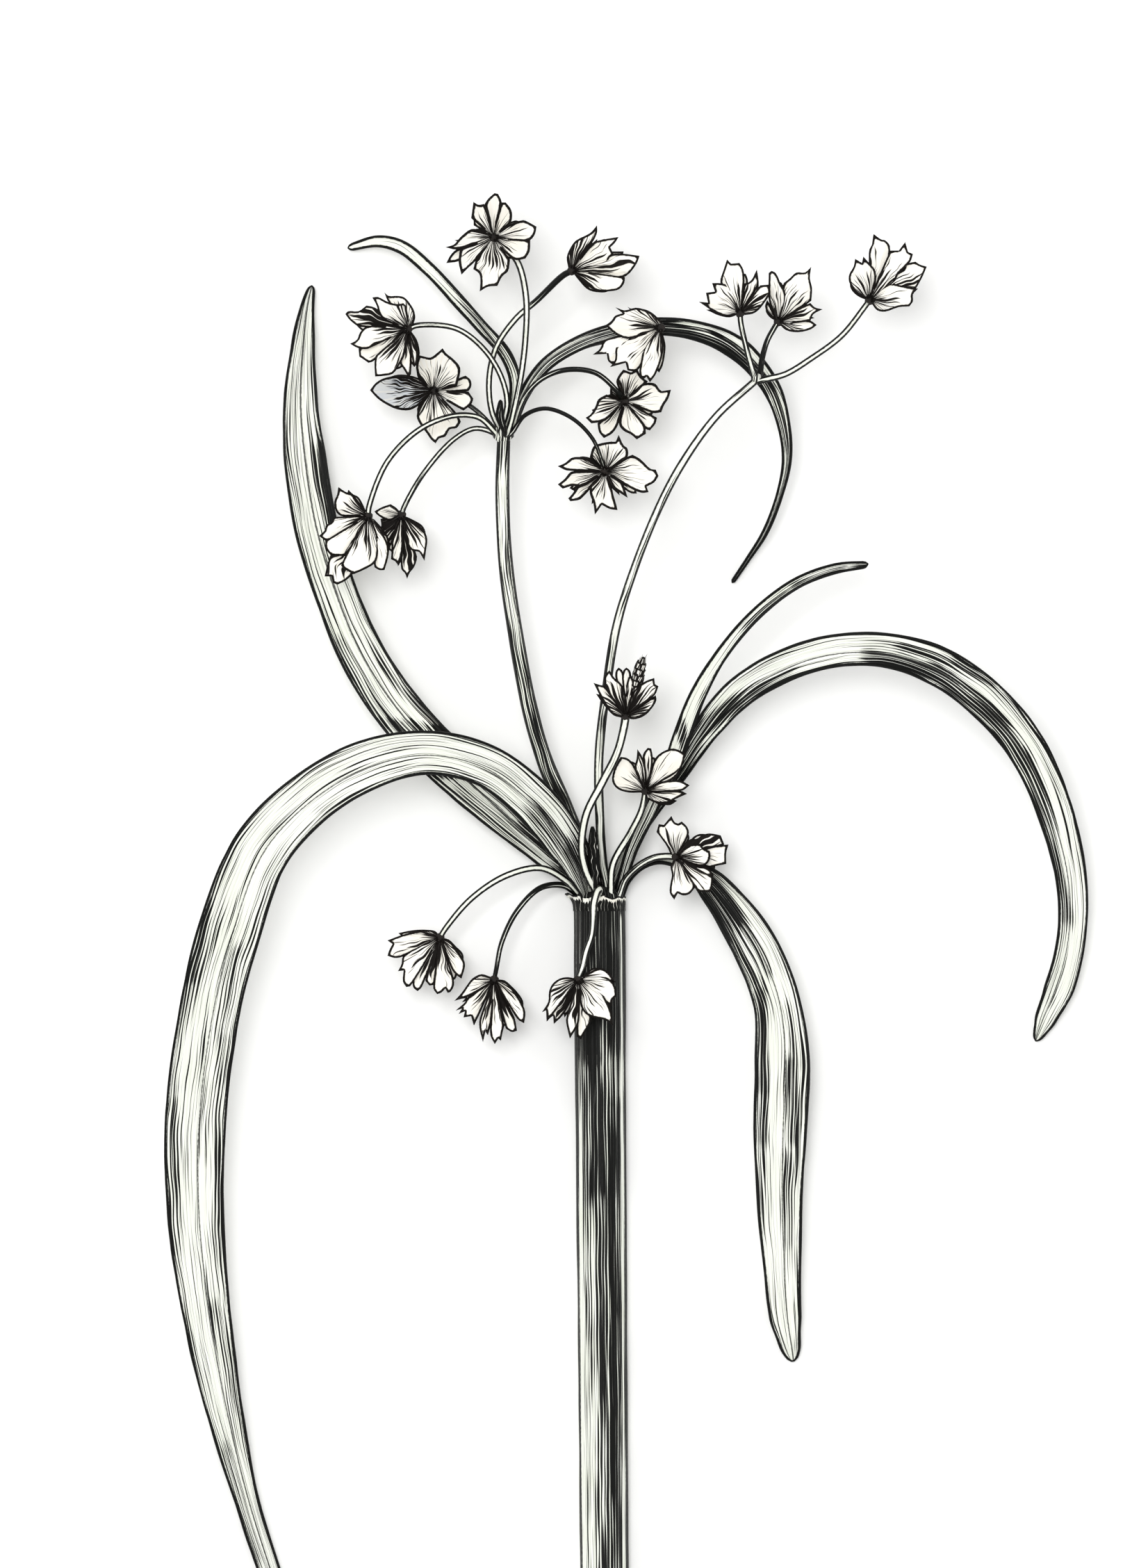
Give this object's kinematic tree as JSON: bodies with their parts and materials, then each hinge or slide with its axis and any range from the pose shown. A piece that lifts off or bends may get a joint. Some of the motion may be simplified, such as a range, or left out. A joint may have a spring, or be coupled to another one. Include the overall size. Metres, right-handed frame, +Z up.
{
  "type": "cut northeastern bulrush flower head",
  "caption": "Cut top of a northeastern bulrush lying down: three-sided stem, arching leafy bracts and a drooping umbel of pointed scaly spikelet clusters.",
  "frame": {"origin": "on the stem's flat underside at its tip, where the bracts and rays begin", "axes": "+Z up from the surface the cut stem lies on, +Y along the stem towards the flower head, +X to the right as seen from above"},
  "size_m": [0.1326, 0.2233, 0.0267],
  "materials": {
    "stem": "satin green stem",
    "ray": "satin pale green stalk",
    "bract": "satin green leaf",
    "scale": "dry papery straw scale"
  },
  "bodies": {
    "root": {"culm": "stem", "umbel_stem": "ray", "ray_tall": "ray", "ray_upright": "ray", "ray_leaning": "ray", "ray_side": "ray", "ray_drooping_left": "ray", "ray_drooping_middle": "ray", "ray_drooping_front": "ray", "ray_top": "ray", "ray_top_right": "ray", "ray_left": "ray", "ray_inner_left": "ray", "ray_low_left": "ray", "ray_low_left_inner": "ray", "ray_right_upper": "ray", "ray_right_middle": "ray", "ray_right_lower": "ray", "ray_tall_left": "ray", "ray_tall_middle": "ray", "ray_tall_right": "ray", "bract_long_left": "bract", "bract_upper_left": "bract", "bract_arching_right": "bract", "bract_short_right": "bract", "bract_lower_right": "bract", "umbel_bract_left": "bract", "umbel_bract_arching": "bract", "umbel_bractlet": "bract", "cluster_top": "scale", "cluster_top_right": "scale", "cluster_left": "scale", "cluster_inner_left": "scale", "cluster_low_left": "scale", "cluster_low_left_inner": "scale", "cluster_right_upper": "scale", "cluster_right_middle": "scale", "cluster_right_lower": "scale", "cluster_tall_left": "scale", "cluster_tall_middle": "scale", "cluster_tall_right": "scale", "cluster_upright": "scale", "cluster_leaning": "scale", "cluster_side": "scale", "cluster_drooping_left": "scale", "cluster_drooping_middle": "scale", "cluster_drooping_front": "scale"}
  },
  "joints": []
}
